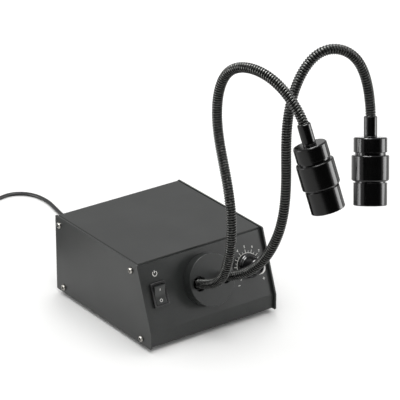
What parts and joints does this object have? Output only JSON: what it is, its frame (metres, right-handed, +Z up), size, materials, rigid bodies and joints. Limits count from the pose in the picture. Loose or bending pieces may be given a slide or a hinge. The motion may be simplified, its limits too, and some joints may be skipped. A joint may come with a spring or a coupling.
{
  "type": "fiber optic illuminator",
  "caption": "Bench illuminator: wedge-fronted sheet-metal light box with rocker switch and dimmer knob, feeding bendable goosenecks that end in focusing heads.",
  "frame": {"origin": "under the rear right foot, on the surface that the feet stand on, at the bench_foot mount", "axes": "+X to the right along the front, +Y towards the back, +Z up"},
  "size_m": [0.2478, 0.4787, 0.2667],
  "materials": {
    "housing_paint": "fine satin texture",
    "collar_black": "satin",
    "screw_steel": "bright",
    "foot_rubber": "matt",
    "black_plastic": "satin",
    "knob_gloss": "gloss",
    "bare_aluminium": "machined",
    "lens_glass": "clear",
    "board_white": "satin",
    "board_green": "satin",
    "led_yellow": "gloss",
    "brass": "bright",
    "pin_nickel": "bright",
    "lead_black": "satin",
    "neck_steel": "black oxide",
    "light_guide": "clear",
    "head_black": "black anodised, semi-gloss"
  },
  "bodies": {
    "root": {"base_pan": "housing_paint", "front_panel": "housing_paint", "top_cover": "housing_paint", "left_cheek": "housing_paint", "right_cheek": "housing_paint", "left_cheek_screws": "screw_steel", "right_cheek_screws": "screw_steel", "rubber_feet": "foot_rubber", "neck_collar": "collar_black", "neck_bushes": "black_plastic", "collar_screws": "screw_steel", "guide_block": "bare_aluminium", "condenser_lenses": "lens_glass", "led_board": "board_white", "led_emitters": "led_yellow", "heat_sink": "bare_aluminium", "sink_posts": "brass", "dimmer_pot": "bare_aluminium", "dimmer_nut": "screw_steel", "switch_frame": "black_plastic", "fan_frame": "black_plastic", "fan_screws": "screw_steel", "driver_board": "board_green", "board_standoffs": "brass", "board_parts": "black_plastic", "supply_socket": "black_plastic", "supply_plug": "black_plastic", "supply_lead": "lead_black", "lead_coil": "lead_black", "lead_tail": "lead_black", "lead_tie": "black_plastic", "supply_adapter": "black_plastic", "adapter_pins": "pin_nickel", "adapter_relief": "black_plastic"},
    "rocker": {"switch_rocker": "black_plastic"},
    "dimmer": {"dimmer_shaft": "bare_aluminium", "dimmer_knob": "knob_gloss"},
    "fan": {"fan_rotor": "black_plastic"},
    "left_arm": {"left_gooseneck": "neck_steel", "left_light_guide": "light_guide"},
    "left_head": {"left_ferrule": "head_black", "left_head_cap": "head_black", "left_grip_sleeve": "head_black"},
    "left_focus": {"left_lens_barrel": "head_black", "left_lens": "lens_glass", "left_lens_ring": "head_black"},
    "right_arm": {"right_gooseneck": "neck_steel", "right_light_guide": "light_guide"},
    "right_head": {"right_ferrule": "head_black", "right_head_cap": "head_black", "right_grip_sleeve": "head_black"},
    "right_focus": {"right_lens_barrel": "head_black", "right_lens": "lens_glass", "right_lens_ring": "head_black"}
  },
  "joints": [
    {"name": "rocker_tilt", "type": "hinge", "parent": "root", "child": "rocker", "pos_m": [-0.098, -0.11545, 0.04545], "axis": [1, 0, 0], "range_deg": [-18, 0]},
    {"name": "dimmer_turn", "type": "hinge", "parent": "root", "child": "dimmer", "pos_m": [-0.006, -0.11545, 0.04545], "axis": [0, -0.9408, 0.339], "range_deg": [-73, 197]},
    {"name": "fan_spin", "type": "hinge", "parent": "root", "child": "fan", "pos_m": [-0.078, 0.0077, 0.0395], "axis": [0, 1, 0], "continuous": true},
    {"name": "left_neck_swing", "type": "hinge", "parent": "root", "child": "left_arm", "pos_m": [-0.063, -0.168, 0.1], "axis": [0, 0, 1], "range_deg": [-45, 20], "deforming": ["left_gooseneck", "left_light_guide"]},
    {"name": "left_neck_tilt", "type": "hinge", "parent": "left_arm", "child": "left_head", "pos_m": [-0.054, -0.18, 0.2565], "axis": [-0.9605, -0.2781, 0], "range_deg": [-20, 30], "deforming": ["left_gooseneck", "left_light_guide"]},
    {"name": "left_focus_slide", "type": "slide", "parent": "left_head", "child": "left_focus", "axis": [0.133, -0.2951, -0.9462], "range_m": [-0.0008, 0.006]},
    {"name": "right_neck_swing", "type": "hinge", "parent": "root", "child": "right_arm", "pos_m": [-0.02, -0.184, 0.11], "axis": [0, 0, 1], "range_deg": [-20, 45], "deforming": ["right_gooseneck", "right_light_guide"]},
    {"name": "right_neck_tilt", "type": "hinge", "parent": "right_arm", "child": "right_head", "pos_m": [0.0125, -0.196, 0.2628], "axis": [-0.3469, -0.9379, 0], "range_deg": [-20, 30], "deforming": ["right_gooseneck", "right_light_guide"]},
    {"name": "right_focus_slide", "type": "slide", "parent": "right_head", "child": "right_focus", "axis": [-0.1998, -0.2797, -0.9391], "range_m": [-0.0008, 0.006]}
  ]
}
